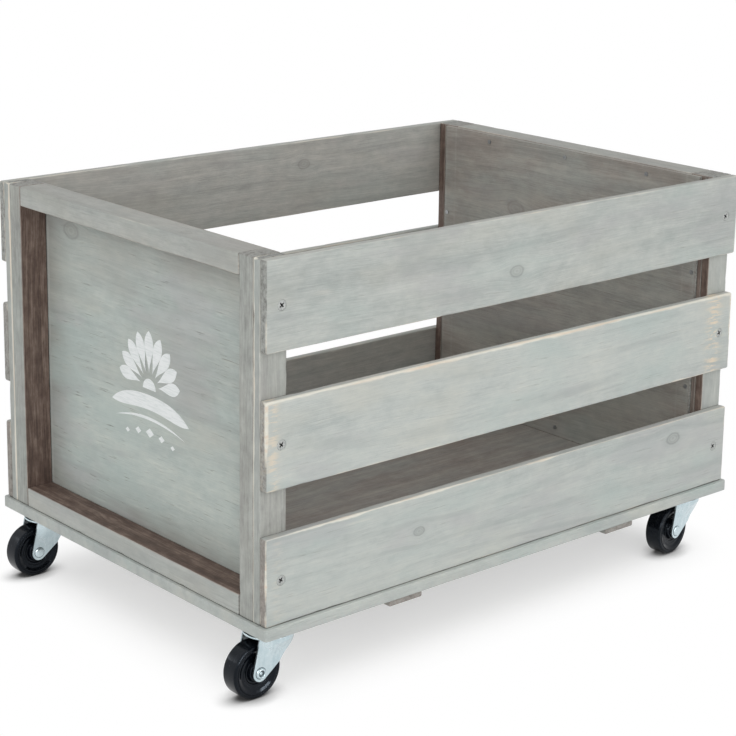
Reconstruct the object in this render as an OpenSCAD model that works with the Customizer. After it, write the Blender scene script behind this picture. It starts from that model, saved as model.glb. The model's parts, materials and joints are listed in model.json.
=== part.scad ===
// Record crate on four swivel casters.
// Slatted long sides, framed plywood ends, one floor board and two floor cleats.
// Sizes are in millimetres and +Z is up. The origin is on the ground under the middle of the crate.
// +X runs along the crate to its right end, and the front is the slatted side at -Y.

/* [Crate] */
// Length of the crate over the ends of its slats
crate_length = 500; // [420:1:640]
// Width of the crate over the outer faces of its slats
crate_width = 348; // [320:1:420]
// Height of the walls above the floor board
wall_height = 268; // [240:1:340]
// Width of the easing planed on the long edges of the timber
edge_ease = 0.8; // [0.2:0.1:1.5]

/* [Slats] */
// Height of one slat
slat_height = 66.5; // [50:0.5:74]
// Thickness of a slat
slat_thickness = 7; // [6:0.5:12]
// Distance from the end of a slat to its screw
slat_screw_inset = 14; // [9:0.5:16]

/* [End frames] */
// Depth of posts, rails and battens, along the crate
frame_depth = 24; // [20:1:34]
// Thickness of a corner post, across the crate
post_thickness = 16; // [14:0.5:24]
// Height of the top and bottom rails
rail_height = 16; // [14:0.5:24]
// Thickness of the batten between a post and the slats
batten_thickness = 8; // [6:0.5:12]
// Thickness of the plywood end panel
panel_thickness = 3; // [2.5:0.5:6]
// Margin of bare frame beside the end panel
panel_side_margin = 4; // [1:0.5:6]
// Margin of bare frame above the end panel
panel_top_margin = 1; // [0:0.5:5]

/* [Floor board] */
// Thickness of the floor board
board_thickness = 9; // [9:0.5:15]
// How far the board stands out past the ends of the slats
board_overhang_end = 2.5; // [0:0.5:8]
// How far the board stands out past the faces of the slats
board_overhang_side = 3.5; // [0:0.5:8]
// Radius of the board's corners
board_corner = 3; // [1:0.5:8]

/* [Floor cleats] */
// Width of a cleat, along the crate
cleat_width = 33; // [24:1:40]
// Thickness of a cleat
cleat_thickness = 5; // [4.5:0.5:8]
// Distance between the middles of the two cleats
cleat_spacing = 236; // [120:1:240]
// Distance from a cleat's end to the edge of the board
cleat_end_inset = 1.5; // [0.5:0.5:10]

/* [Wood screws and nails] */
// Radius of a countersunk screw's head
screw_head_radius = 3.9; // [3:0.1:4.2]
// Depth of the countersunk head
screw_head_depth = 2.3; // [1.8:0.1:2.8]
// Radius of a wood screw's shank
screw_shank_radius = 1.75; // [1.2:0.05:2]
// Length of the cross recess over its arms
cross_recess_length = 4; // [3:0.1:4.6]
// Width of an arm of the cross recess
cross_recess_width = 0.9; // [0.6:0.1:1.2]
// Depth of the cross recess
cross_recess_depth = 1.4; // [0.8:0.1:1.5]
// How far a screw's head is sunk below the face of the wood
screw_sink = 0.3; // [0:0.1:0.6]
// Length of a slat screw
slat_screw_length = 28; // [22:1:30]
// Length of a frame screw, through the post into the rail's end
frame_screw_length = 40; // [32:1:50]
// Length of a board screw, up into a bottom rail
board_screw_length = 21; // [16:1:22]
// Distance of a board screw from the middle of the crate's width
board_screw_offset = 60; // [30:1:90]
// Length of a cleat screw
cleat_screw_length = 12; // [9:0.5:13]
// Distance of the outer cleat screws from the middle of the crate's width
cleat_screw_offset = 130; // [60:1:140]
// Length of a caster screw under its pan head
caster_screw_length = 9.5; // [8:0.5:10]
// Radius of a caster screw's pan head
pan_head_radius = 3.3; // [3:0.1:3.5]
// Radius of the flat on top of the pan head
pan_head_flat_radius = 2.3; // [2:0.1:2.8]
// Height of the pan head
pan_head_height = 2; // [1.6:0.1:2.1]
// Radius of a panel nail's shank
nail_radius = 0.8; // [0.5:0.1:1.2]
// Radius of a panel nail's head
nail_head_radius = 1.9; // [1.5:0.1:2.5]
// Thickness of a panel nail's head
nail_head_thickness = 0.5; // [0.3:0.1:1]
// Length of a panel nail under its head
nail_length = 15; // [10:1:18]
// Distance between the nails in a rail
nail_spacing = 96; // [40:1:100]
// Room left around the shanks and heads in their holes
fastener_clearance = 0.1; // [0.05:0.01:0.2]

/* [Caster places] */
// Distance from the board's left end to the pivots of the left casters
caster_inset_left = 24.5; // [24:0.5:60]
// Distance from the board's right end to the pivots of the right casters
caster_inset_right = 30.5; // [24:0.5:60]
// Distance from the board's side to a caster's pivot
caster_inset_side = 28.5; // [26:0.5:60]
// Turn of the front right caster at rest, in degrees
front_right_turn = 7; // [-30:1:30]
// Turn of the back right caster at rest, in degrees
back_right_turn = 180; // [150:1:210]

/* [Caster] */
// Diameter of the wheel
wheel_diameter = 42; // [38:0.5:46]
// Width of the wheel at its hub
wheel_width = 16.5; // [13:0.5:18]
// Distance from the pivot back to the axle
trail = 15; // [13:0.5:18]
// Length of the top plate, along the crate
plate_length = 40; // [39.5:0.5:44]
// Width of the top plate, across the crate
plate_width = 40; // [38:0.5:44]
// Thickness of the top plate
plate_thickness = 2; // [1.5:0.1:3]
// Radius of the top plate's corners
plate_corner = 5; // [2:0.5:6]
// Distance between the plate's screws, along the crate
plate_hole_spacing_length = 30; // [29.5:0.5:31]
// Distance between the plate's screws, across the crate
plate_hole_spacing_width = 29; // [29:0.5:30]

/* [Swivel race] */
// Open height between the wheel's top and the fork's crown
wheel_to_crown = 2.2; // [2:0.1:6]
// Radius of the fork's crown
crown_radius = 19; // [18:0.25:20]
// Thickness of the fork's crown
crown_thickness = 2; // [1.6:0.1:2.4]
// Height of the lip around the crown
lip_height = 2; // [1:0.1:2.2]
// Thickness of the lip around the crown
lip_thickness = 1.6; // [1:0.1:2]
// Open height between the crown and the raceway above it
race_gap = 2.6; // [2.4:0.1:2.8]
// Diameter of a ball in the race
ball_diameter = 3; // [2.9:0.1:3.2]
// Radius of the ring on which the balls lie
ball_ring_radius = 12.5; // [11.5:0.25:13]
// Number of balls in the race
ball_count = 10; // [6:1:14]
// Room around a ball in its grooves
ball_clearance = 0.3; // [0.2:0.05:0.4]
// Thickness of the raceway under the plate
raceway_thickness = 2.2; // [2:0.1:2.6]
// Radius of the raceway under the plate
raceway_radius = 15.9; // [15.5:0.1:16]
// Radius of the kingpin rivet
kingpin_radius = 4; // [3:0.1:4.5]
// Radius of the kingpin's head under the crown
kingpin_head_radius = 7; // [6:0.1:7.5]
// Radius of the flat under the kingpin's head
kingpin_flat_radius = 4.2; // [3:0.1:5]
// Thickness of the kingpin's head
kingpin_head_thickness = 2; // [1.5:0.1:2.2]
// Gap between the kingpin's head and the crown
kingpin_head_gap = 0.15; // [0.05:0.05:0.3]
// How far the kingpin's riveted top flares out in the plate
kingpin_flare = 1.1; // [0.5:0.1:1.3]

/* [Fork, axle and wheel] */
// Thickness of a fork leg
leg_thickness = 1.6; // [1.2:0.1:2]
// Gap between the wheel's hub and a fork leg
hub_gap = 0.9; // [0.5:0.1:1.2]
// Radius of a fork leg's rounded foot
foot_radius = 6.5; // [6:0.25:7]
// How far the front corner of a leg lies ahead of the pivot
leg_corner_ahead = 2.5; // [0:0.5:6]
// Height of that corner above the axle
leg_corner_rise = 5; // [4:0.5:8]
// Radius of the axle rivet
axle_radius = 3; // [2.5:0.1:3.5]
// Radius of the axle rivet's heads
axle_head_radius = 5; // [4.4:0.1:5.5]
// Radius of the flat on the axle rivet's heads
axle_flat_radius = 2.8; // [2:0.1:3.4]
// Thickness of the axle rivet's heads
axle_head_thickness = 1.6; // [1:0.1:2]
// Thickness of the upright edge of the axle rivet's heads
axle_head_edge = 0.6; // [0.3:0.1:0.9]
// Running clearance around the kingpin and the axle
running_clearance = 0.05; // [0.02:0.01:0.08]
// Radius of the wheel's hub
hub_radius = 7.8; // [7:0.1:8.5]
// Width of the groove between the hub and the web
hub_groove_width = 1.8; // [1.2:0.1:2.2]
// Depth of that groove below the web
hub_groove_depth = 1.2; // [0.4:0.1:1.6]
// Inner radius of the wheel's rim
rim_inner_radius = 15.6; // [12.5:0.1:16]
// How far the web lies below the hub's face
web_recess = 2.2; // [1:0.1:3]
// Width of the slope on each step of the wheel's side
step_slope = 0.6; // [0.3:0.1:0.8]
// How far the rim's face lies below the hub's face
rim_recess = 0.7; // [0.4:0.1:1.5]
// Radius of the rounding between the rim's face and the tread
tread_rounding = 1.2; // [0.8:0.1:1.8]

/* [Hidden] */

// Signs of the four directions
LEFT = -1;
RIGHT = 1;
FRONT = -1;
BACK = 1;

// Levels of the slats, from the bottom up
LEVELS = [0, 1, 2];

// Smoothness of round surfaces
$fn = 48;
wheel_fn = 96;
rounding_steps = 4;

// How far a cut runs on past the face that it opens
cut_margin = 1;

// Colours of the washed pine, the zinc-plated steel and the black wheels
washed_pine = [0.69, 0.70, 0.67];
pine_shade = [0.62, 0.63, 0.60];
washed_ply = [0.64, 0.67, 0.65];
zinc = [0.78, 0.82, 0.84];
black_plastic = [0.08, 0.08, 0.09];

// Heights in a caster, from the ground up to the underside of the board
wheel_radius = wheel_diameter / 2;
crown_bottom = wheel_diameter + wheel_to_crown;
crown_top = crown_bottom + crown_thickness;
ball_height = crown_top + race_gap / 2;
raceway_bottom = crown_top + race_gap;
plate_bottom = raceway_bottom + raceway_thickness;
caster_height = plate_bottom + plate_thickness;

// Heights of the board and the walls
board_top = caster_height + board_thickness;
wall_top = board_top + wall_height;

// Outer size of the board
board_length = crate_length + 2 * board_overhang_end;
board_width = crate_width + 2 * board_overhang_side;

// Faces across the crate, from the slats inwards
slat_face = crate_width / 2;
batten_face = slat_face - slat_thickness;
post_face = batten_face - batten_thickness;
rail_half_length = post_face - post_thickness;

// Faces along the crate, from the end inwards
end_face = crate_length / 2;
panel_outer_face = end_face - frame_depth;
panel_inner_face = panel_outer_face - panel_thickness;
frame_middle = end_face - frame_depth / 2;

// Heights of the middles of the rails
bottom_rail_middle = board_top + rail_height / 2;
top_rail_middle = wall_top - rail_height / 2;

// Open height between two slats
slat_gap = (wall_height - len(LEVELS) * slat_height) / (len(LEVELS) - 1);

// End panels
panel_width = 2 * (post_face - panel_side_margin);
panel_height = wall_height - panel_top_margin;

// Panel nails
nail_reach = post_face - post_thickness / 2;

// Length of the point of a screw and of a nail
screw_point = 2 * screw_shank_radius;
nail_point = 2 * nail_radius;

// Cleats
cleat_length = board_width - 2 * cleat_end_inset;

// Distance of the caster pivots from the middle of the crate's width
pivot_y = board_width / 2 - caster_inset_side;

// Radius of the grooves in which the balls lie
groove_radius = ball_diameter / 2 + ball_clearance;

// Fork legs
leg_inner_face = wheel_width / 2 + hub_gap;
leg_outer_face = leg_inner_face + leg_thickness;
leg_reach = sqrt(pow(crown_radius, 2) - pow(leg_outer_face, 2));

// Heights of a slat's middle and of the gap above it, at one level
function slat_middle(level) = board_top + slat_height / 2 + level * (slat_height + slat_gap);
function gap_middle(level) = (slat_middle(level) + slat_middle(level + 1)) / 2;

// Place of the caster pivots along the crate, at one end
function pivot_x(end) =
    end * board_length / 2 - end * (end == LEFT ? caster_inset_left : caster_inset_right);

// Turn of a caster at rest
function caster_turn(end, side) =
    end == LEFT ? 0 : side == FRONT ? front_right_turn : back_right_turn;

// Point where the line from point p touches the circle of radius r around c,
// on the circle's left (side 1) or right (side -1) as seen from p
function touch_point(p, c, r, side) =
    let (d = c - p)
    let (distance = norm(d))
    let (toward_p = atan2(-d[1], -d[0]))
    let (angle = toward_p - side * acos(r / distance))
    c + r * [cos(angle), sin(angle)];

// Rectangle with eased corners, centred
module eased_rectangle(width, height) {
    w = width / 2;
    h = height / 2;
    e = edge_ease;
    polygon([
        [-w + e, -h], [w - e, -h], [w, -h + e], [w, h - e],
        [w - e, h], [-w + e, h], [-w, h - e], [-w, -h + e]
    ]);
}

// Bar along X, centred, with its long edges eased
module bar_along_x(length, width, height) {
    rotate([90, 0, 90])
        translate([0, 0, -length / 2])
            linear_extrude(length)
                eased_rectangle(width, height);
}

// Bar along Y, centred, with its long edges eased
module bar_along_y(length, width, height) {
    rotate([90, 0, 0])
        translate([0, 0, -length / 2])
            linear_extrude(length)
                eased_rectangle(width, height);
}

// Upright bar that stands on the board, with its long edges eased
module upright_bar(length_x, length_y) {
    linear_extrude(wall_height)
        eased_rectangle(length_x, length_y);
}

// Flat plate with round corners, centred, on z = 0
module round_cornered_plate(length, width, thickness, corner) {
    x = length / 2 - corner;
    y = width / 2 - corner;
    linear_extrude(thickness) {
        square([length, 2 * y], center = true);
        square([2 * x, width], center = true);
        for (i = [-1, 1], j = [-1, 1])
            translate([i * x, j * y])
                circle(corner);
    }
}

// Cross recess in the top of a screw's head at z = 0
module cross_recess() {
    for (turn = [0, 90])
        rotate([0, 0, turn])
            translate([0, 0, (cut_margin - cross_recess_depth) / 2])
                cube([
                    cross_recess_length,
                    cross_recess_width,
                    cross_recess_depth + cut_margin
                ], center = true);
}

// Countersunk wood screw, with its head's top at z = 0 and its point down
module wood_screw(length) {
    difference() {
        rotate_extrude()
            polygon([
                [0, 0], [screw_head_radius, 0], [screw_shank_radius, -screw_head_depth],
                [screw_shank_radius, -length + screw_point], [0, -length]
            ]);
        cross_recess();
    }
}

// Hole that a countersunk wood screw lies in
module wood_screw_hole(length) {
    c = fastener_clearance;
    head = screw_head_radius + c;
    shank = screw_shank_radius + c;
    rotate_extrude()
        polygon([
            [0, cut_margin], [head, cut_margin], [head, 0], [shank, -screw_head_depth],
            [shank, -length - c], [0, -length - c]
        ]);
}

// Pan head screw, with the seat of its head at z = 0 and its point down
module pan_screw() {
    difference() {
        rotate_extrude()
            polygon([
                [0, pan_head_height], [pan_head_flat_radius, pan_head_height],
                [pan_head_radius, pan_head_height / 2], [pan_head_radius, 0], [screw_shank_radius, 0],
                [screw_shank_radius, -caster_screw_length + screw_point], [0, -caster_screw_length]
            ]);
        translate([0, 0, pan_head_height])
            cross_recess();
    }
}

// Panel nail, with the seat of its head at z = 0 and its point down
module nail() {
    rotate_extrude()
        polygon([
            [0, nail_head_thickness], [nail_head_radius, nail_head_thickness], [nail_head_radius, 0],
            [nail_radius, 0], [nail_radius, -nail_length + nail_point], [0, -nail_length]
        ]);
}

// Hole that a panel nail lies in
module nail_hole() {
    translate([0, 0, -nail_length - fastener_clearance])
        cylinder(
            h = nail_length + fastener_clearance + cut_margin,
            r = nail_radius + fastener_clearance
        );
}

// Places its children at one slat screw, on the face of the slat
module at_slat_screw(end, side, level) {
    x = end * (end_face - slat_screw_inset);
    translate([x, side * (slat_face - screw_sink), slat_middle(level)])
        rotate([-90 * side, 0, 0])
            children();
}

// Places its children at one frame screw, on the outer face of the post
module at_frame_screw(end, side, rail_middle) {
    translate([end * frame_middle, side * (post_face - screw_sink), rail_middle])
        rotate([-90 * side, 0, 0])
            children();
}

// Places its children at one board screw, on the underside of the board
module at_board_screw(end, side) {
    translate([end * frame_middle, side * board_screw_offset, caster_height + screw_sink])
        rotate([180, 0, 0])
            children();
}

// Places its children at the three screws of one cleat, on its underside
module at_cleat_screws(end) {
    for (step = [-1, 0, 1])
        translate([
            end * cleat_spacing / 2,
            step * cleat_screw_offset,
            caster_height - cleat_thickness + screw_sink
        ])
            rotate([180, 0, 0])
                children();
}

// Places its children at the nails of one end panel, on its inner face
module at_panel_nails(end) {
    for (rail_middle = [bottom_rail_middle, top_rail_middle], step = [-1, 0, 1])
        at_panel_nail(end, step * nail_spacing, rail_middle)
            children();
    for (side = [FRONT, BACK], level = [0, 1])
        at_panel_nail(end, side * nail_reach, gap_middle(level))
            children();
}

// Places its children at one nail of an end panel
module at_panel_nail(end, y, z) {
    translate([end * panel_inner_face, y, z])
        rotate([0, -90 * end, 0])
            children();
}

// Places its children at one caster's pivot, on the ground and square to the crate
module at_caster(end, side) {
    translate([pivot_x(end), side * pivot_y, 0])
        children();
}

// Places its children at one caster's pivot, turned as the fork stands at rest
module at_fork(end, side) {
    at_caster(end, side)
        rotate([0, 0, caster_turn(end, side)])
            children();
}

// Places its children at the four screws of a caster's plate, on its underside
module at_plate_screws() {
    for (i = [-1, 1], j = [-1, 1])
        translate([
            i * plate_hole_spacing_length / 2,
            j * plate_hole_spacing_width / 2,
            plate_bottom
        ])
            rotate([180, 0, 0])
                children();
}

// Floor board with the holes of the casters, cleats and bottom rails
module bottom_board() {
    color(washed_pine)
    difference() {
        translate([0, 0, caster_height])
            round_cornered_plate(board_length, board_width, board_thickness, board_corner);
        for (end = [LEFT, RIGHT], side = [FRONT, BACK]) {
            at_board_screw(end, side)
                wood_screw_hole(board_screw_length);
            at_caster(end, side)
                at_plate_screws()
                    translate([0, 0, -caster_screw_length - fastener_clearance])
                        cylinder(h = caster_screw_length, r = screw_shank_radius + fastener_clearance);
        }
        for (end = [LEFT, RIGHT])
            at_cleat_screws(end)
                wood_screw_hole(cleat_screw_length);
    }
}

// Flat strip across the underside of the board
module floor_cleat(end) {
    color(pine_shade)
    difference() {
        translate([end * cleat_spacing / 2, 0, caster_height - cleat_thickness / 2])
            bar_along_y(cleat_length, cleat_width, cleat_thickness);
        at_cleat_screws(end)
            wood_screw_hole(cleat_screw_length);
    }
}

// One slat of a long side
module slat(side, level) {
    color(washed_pine)
    difference() {
        translate([0, side * (slat_face - slat_thickness / 2), slat_middle(level)])
            bar_along_x(crate_length, slat_thickness, slat_height);
        for (end = [LEFT, RIGHT])
            at_slat_screw(end, side, level)
                wood_screw_hole(slat_screw_length);
    }
}

// Upright strip between the slats and a post
module batten(end, side) {
    color(pine_shade)
    difference() {
        translate([end * frame_middle, side * (batten_face - batten_thickness / 2), board_top])
            upright_bar(frame_depth, batten_thickness);
        for (level = LEVELS)
            at_slat_screw(end, side, level)
                wood_screw_hole(slat_screw_length);
    }
}

// Upright post of an end frame
module post(end, side) {
    color(washed_pine)
    difference() {
        translate([end * frame_middle, side * (post_face - post_thickness / 2), board_top])
            upright_bar(frame_depth, post_thickness);
        for (level = LEVELS)
            at_slat_screw(end, side, level)
                wood_screw_hole(slat_screw_length);
        for (rail_middle = [bottom_rail_middle, top_rail_middle])
            at_frame_screw(end, side, rail_middle)
                wood_screw_hole(frame_screw_length);
        at_panel_nails(end)
            nail_hole();
    }
}

// Rail of an end frame, between its posts
module rail(end, rail_middle) {
    color(washed_pine)
    difference() {
        translate([end * frame_middle, 0, rail_middle])
            bar_along_y(2 * rail_half_length, frame_depth, rail_height);
        for (side = [FRONT, BACK]) {
            at_frame_screw(end, side, rail_middle)
                wood_screw_hole(frame_screw_length);
            at_board_screw(end, side)
                wood_screw_hole(board_screw_length);
        }
        at_panel_nails(end)
            nail_hole();
    }
}

// Plywood panel on the inner face of an end frame
module end_panel(end) {
    color(washed_ply)
    difference() {
        translate([
            end * (panel_outer_face - panel_thickness / 2),
            0,
            board_top + panel_height / 2
        ])
            cube([panel_thickness, panel_width, panel_height], center = true);
        at_panel_nails(end)
            nail_hole();
    }
}

// Screws that hold the slats and battens to the posts
module slat_screws() {
    color(zinc)
    for (end = [LEFT, RIGHT], side = [FRONT, BACK], level = LEVELS)
        at_slat_screw(end, side, level)
            wood_screw(slat_screw_length);
}

// Screws through the posts into the rails' ends
module frame_screws() {
    color(zinc)
    for (end = [LEFT, RIGHT], side = [FRONT, BACK], z = [bottom_rail_middle, top_rail_middle])
        at_frame_screw(end, side, z)
            wood_screw(frame_screw_length);
}

// Screws up through the board into the bottom rails
module board_screws() {
    color(zinc)
    for (end = [LEFT, RIGHT], side = [FRONT, BACK])
        at_board_screw(end, side)
            wood_screw(board_screw_length);
}

// Screws up through the cleats into the board
module cleat_screws() {
    color(zinc)
    for (end = [LEFT, RIGHT])
        at_cleat_screws(end)
            wood_screw(cleat_screw_length);
}

// Screws up through the caster plates into the board
module caster_screws() {
    color(zinc)
    for (end = [LEFT, RIGHT], side = [FRONT, BACK])
        at_caster(end, side)
            at_plate_screws()
                pan_screw();
}

// Nails through the end panels into the frames
module panel_nails() {
    color(zinc)
    for (end = [LEFT, RIGHT])
        at_panel_nails(end)
            nail();
}

// Ring-shaped groove in which the balls of a race lie
module ball_groove() {
    translate([0, 0, ball_height])
        rotate_extrude()
            translate([ball_ring_radius, 0])
                circle(groove_radius);
}

// Hole for the kingpin's shank
module kingpin_bore() {
    cylinder(h = caster_height, r = kingpin_radius + running_clearance);
}

// Top plate of a caster, with the upper half of the race pressed into its underside
module caster_plate(end, side) {
    bore = kingpin_radius + running_clearance;
    flare = kingpin_flare + running_clearance;
    color(zinc)
    at_caster(end, side)
    difference() {
        union() {
            translate([0, 0, plate_bottom])
                round_cornered_plate(plate_length, plate_width, plate_thickness, plate_corner);
            translate([0, 0, raceway_bottom])
                cylinder(h = raceway_thickness + plate_thickness / 2, r = raceway_radius);
        }
        ball_groove();
        kingpin_bore();
        translate([0, 0, caster_height - flare])
            rotate_extrude()
                polygon([
                    [0, 0], [bore, 0], [bore + flare, flare],
                    [bore + flare, flare + cut_margin], [0, flare + cut_margin]
                ]);
        at_plate_screws()
            translate([0, 0, -plate_thickness - cut_margin])
                cylinder(
                    h = plate_thickness + 2 * cut_margin,
                    r = screw_shank_radius + fastener_clearance
                );
    }
}

// Kingpin: the rivet on which a caster's fork turns
module kingpin(end, side) {
    head_top = crown_bottom - kingpin_head_gap;
    head_bottom = head_top - kingpin_head_thickness;
    color(zinc)
    at_caster(end, side)
    rotate_extrude()
        polygon([
            [0, head_bottom],
            [kingpin_flat_radius, head_bottom],
            [kingpin_head_radius, (head_top + head_bottom) / 2],
            [kingpin_head_radius, head_top],
            [kingpin_radius, head_top],
            [kingpin_radius, caster_height - kingpin_flare],
            [kingpin_radius + kingpin_flare, caster_height],
            [0, caster_height]
        ]);
}

// Balls of a caster's race
module race_balls(end, side) {
    color(zinc)
    at_fork(end, side)
    for (i = [0 : ball_count - 1])
        rotate([0, 0, i * 360 / ball_count])
            translate([ball_ring_radius, 0, ball_height])
                sphere(d = ball_diameter);
}

// Outline of a fork leg, seen from the side, with the pivot at x = 0
module leg_outline() {
    axle = [-trail, wheel_radius];
    back_corner = [-leg_reach, crown_top];
    front_corner = [leg_reach, crown_top];
    low_corner = [leg_corner_ahead, wheel_radius + leg_corner_rise];
    translate(axle)
        circle(foot_radius);
    polygon([
        back_corner,
        touch_point(back_corner, axle, foot_radius, -1),
        axle,
        touch_point(low_corner, axle, foot_radius, 1),
        low_corner,
        front_corner
    ]);
}

// Pressed fork: a round crown with a lip, and two legs that hold the axle
module caster_fork(end, side) {
    color(zinc)
    at_fork(end, side)
    difference() {
        union() {
            rotate_extrude()
                polygon([
                    [0, crown_bottom], [crown_radius, crown_bottom],
                    [crown_radius, crown_top + lip_height],
                    [crown_radius - lip_thickness, crown_top + lip_height],
                    [crown_radius - lip_thickness, crown_top], [0, crown_top]
                ]);
            for (leg = [-1, 1])
                translate([0, leg * (leg_inner_face + leg_thickness / 2), 0])
                    rotate([90, 0, 0])
                        linear_extrude(leg_thickness, center = true)
                            leg_outline();
        }
        ball_groove();
        kingpin_bore();
        translate([-trail, 0, wheel_radius])
            rotate([90, 0, 0])
                cylinder(
                    h = 2 * (leg_outer_face + cut_margin),
                    r = axle_radius + running_clearance,
                    center = true
                );
    }
}

// Axle rivet, with a domed head on each side of the fork
module axle_rivet(end, side) {
    seat = leg_outer_face + running_clearance;
    edge = seat + axle_head_edge;
    top = seat + axle_head_thickness;
    color(zinc)
    at_fork(end, side)
    translate([-trail, 0, wheel_radius])
        rotate([90, 0, 0])
            rotate_extrude()
                polygon([
                    [0, -top], [axle_flat_radius, -top], [axle_head_radius, -edge],
                    [axle_head_radius, -seat], [axle_radius, -seat],
                    [axle_radius, seat], [axle_head_radius, seat],
                    [axle_head_radius, edge], [axle_flat_radius, top], [0, top]
                ]);
}

// Half of the wheel's section, as [radius, distance from the wheel's middle]
function wheel_half_section() =
    let (hub = wheel_width / 2)
    let (web = hub - web_recess)
    let (groove = web - hub_groove_depth)
    let (groove_end = hub_radius + hub_groove_width)
    let (rim = hub - rim_recess)
    let (shoulder = wheel_radius - tread_rounding)
    [
        [axle_radius + running_clearance, hub],
        [hub_radius, hub],
        [hub_radius + step_slope, groove],
        [groove_end, groove],
        [groove_end + step_slope, web],
        [rim_inner_radius - step_slope, web],
        [rim_inner_radius, rim],
        for (step = [0 : rounding_steps])
            let (angle = 90 * (1 - step / rounding_steps))
            [shoulder, rim - tread_rounding] + tread_rounding * [cos(angle), sin(angle)]
    ];

// Black wheel with a stepped side and a rounded tread
module caster_wheel(end, side) {
    half = wheel_half_section();
    count = len(half);
    mirrored = [for (i = [count - 1 : -1 : 0]) [half[i][0], -half[i][1]]];
    color(black_plastic)
    at_fork(end, side)
    translate([-trail, 0, wheel_radius])
        rotate([90, 0, 0])
            rotate_extrude($fn = wheel_fn)
                polygon(concat(half, mirrored));
}

bottom_board();
floor_cleat(LEFT);  // left_floor_cleat
floor_cleat(RIGHT);  // right_floor_cleat
slat(FRONT, 0);  // front_slat_bottom
slat(FRONT, 1);  // front_slat_middle
slat(FRONT, 2);  // front_slat_top
slat(BACK, 0);  // back_slat_bottom
slat(BACK, 1);  // back_slat_middle
slat(BACK, 2);  // back_slat_top
batten(LEFT, FRONT);  // front_left_batten
batten(RIGHT, FRONT);  // front_right_batten
batten(LEFT, BACK);  // back_left_batten
batten(RIGHT, BACK);  // back_right_batten
post(LEFT, FRONT);  // front_left_post
post(RIGHT, FRONT);  // front_right_post
post(LEFT, BACK);  // back_left_post
post(RIGHT, BACK);  // back_right_post
rail(LEFT, bottom_rail_middle);  // left_bottom_rail
rail(LEFT, top_rail_middle);  // left_top_rail
rail(RIGHT, bottom_rail_middle);  // right_bottom_rail
rail(RIGHT, top_rail_middle);  // right_top_rail
end_panel(LEFT);  // left_end_panel
end_panel(RIGHT);  // right_end_panel
slat_screws();
frame_screws();
board_screws();
cleat_screws();
caster_screws();
panel_nails();
caster_plate(LEFT, FRONT);  // front_left_plate
kingpin(LEFT, FRONT);  // front_left_kingpin
race_balls(LEFT, FRONT);  // front_left_balls
caster_fork(LEFT, FRONT);  // front_left_fork
axle_rivet(LEFT, FRONT);  // front_left_axle
caster_wheel(LEFT, FRONT);  // front_left_wheel
caster_plate(RIGHT, FRONT);  // front_right_plate
kingpin(RIGHT, FRONT);  // front_right_kingpin
race_balls(RIGHT, FRONT);  // front_right_balls
caster_fork(RIGHT, FRONT);  // front_right_fork
axle_rivet(RIGHT, FRONT);  // front_right_axle
caster_wheel(RIGHT, FRONT);  // front_right_wheel
caster_plate(LEFT, BACK);  // back_left_plate
kingpin(LEFT, BACK);  // back_left_kingpin
race_balls(LEFT, BACK);  // back_left_balls
caster_fork(LEFT, BACK);  // back_left_fork
axle_rivet(LEFT, BACK);  // back_left_axle
caster_wheel(LEFT, BACK);  // back_left_wheel
caster_plate(RIGHT, BACK);  // back_right_plate
kingpin(RIGHT, BACK);  // back_right_kingpin
race_balls(RIGHT, BACK);  // back_right_balls
caster_fork(RIGHT, BACK);  // back_right_fork
axle_rivet(RIGHT, BACK);  // back_right_axle
caster_wheel(RIGHT, BACK);  // back_right_wheel
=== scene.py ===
"""Looks of the record crate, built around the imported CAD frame.

Lengths are in metres in the CAD's own frame: +X along the crate to its right end, -Y the front, +Z up.
Sizes of small parts are written in millimetres and multiplied by MM.
"""
import json
import math
import random

import bmesh
import bpy
from mathutils import Matrix, Vector, noise


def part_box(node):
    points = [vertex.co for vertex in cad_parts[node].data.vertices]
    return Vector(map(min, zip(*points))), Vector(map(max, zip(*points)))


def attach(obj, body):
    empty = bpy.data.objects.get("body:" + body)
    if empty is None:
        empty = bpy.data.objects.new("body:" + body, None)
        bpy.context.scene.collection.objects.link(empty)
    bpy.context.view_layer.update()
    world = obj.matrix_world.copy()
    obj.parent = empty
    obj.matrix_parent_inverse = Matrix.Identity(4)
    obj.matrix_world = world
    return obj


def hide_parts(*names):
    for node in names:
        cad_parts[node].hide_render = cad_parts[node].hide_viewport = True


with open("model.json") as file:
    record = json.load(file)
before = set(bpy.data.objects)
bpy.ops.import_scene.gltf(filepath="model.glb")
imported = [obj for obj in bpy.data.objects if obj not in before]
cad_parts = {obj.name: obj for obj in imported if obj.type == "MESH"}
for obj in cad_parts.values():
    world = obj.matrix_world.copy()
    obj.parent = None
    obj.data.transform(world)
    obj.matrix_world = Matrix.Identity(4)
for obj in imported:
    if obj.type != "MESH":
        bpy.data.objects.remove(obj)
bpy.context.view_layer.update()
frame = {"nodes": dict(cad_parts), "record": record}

MM = 0.001
IMAGE_SIZE = 736
AXES = "xyz"
SIDES = {
    "left": (0, -1), "right": (0, 1),
    "front": (1, -1), "back": (1, 1),
    "bottom": (2, -1), "top": (2, 1),
}
OPPOSITE = {"left": "right", "right": "left", "front": "back", "back": "front"}
rng = random.Random(12)


def srgb(red, green, blue):
    """A colour given as 0 to 255 in sRGB, as Blender's linear colour."""
    def linear(value):
        value /= 255
        return value / 12.92 if value <= 0.04045 else ((value + 0.055) / 1.055) ** 2.4
    return (linear(red), linear(green), linear(blue), 1.0)


# Shader nodes

def arithmetic(operation):
    return lambda self, other: self.shader.math(operation, self, other)


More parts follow.
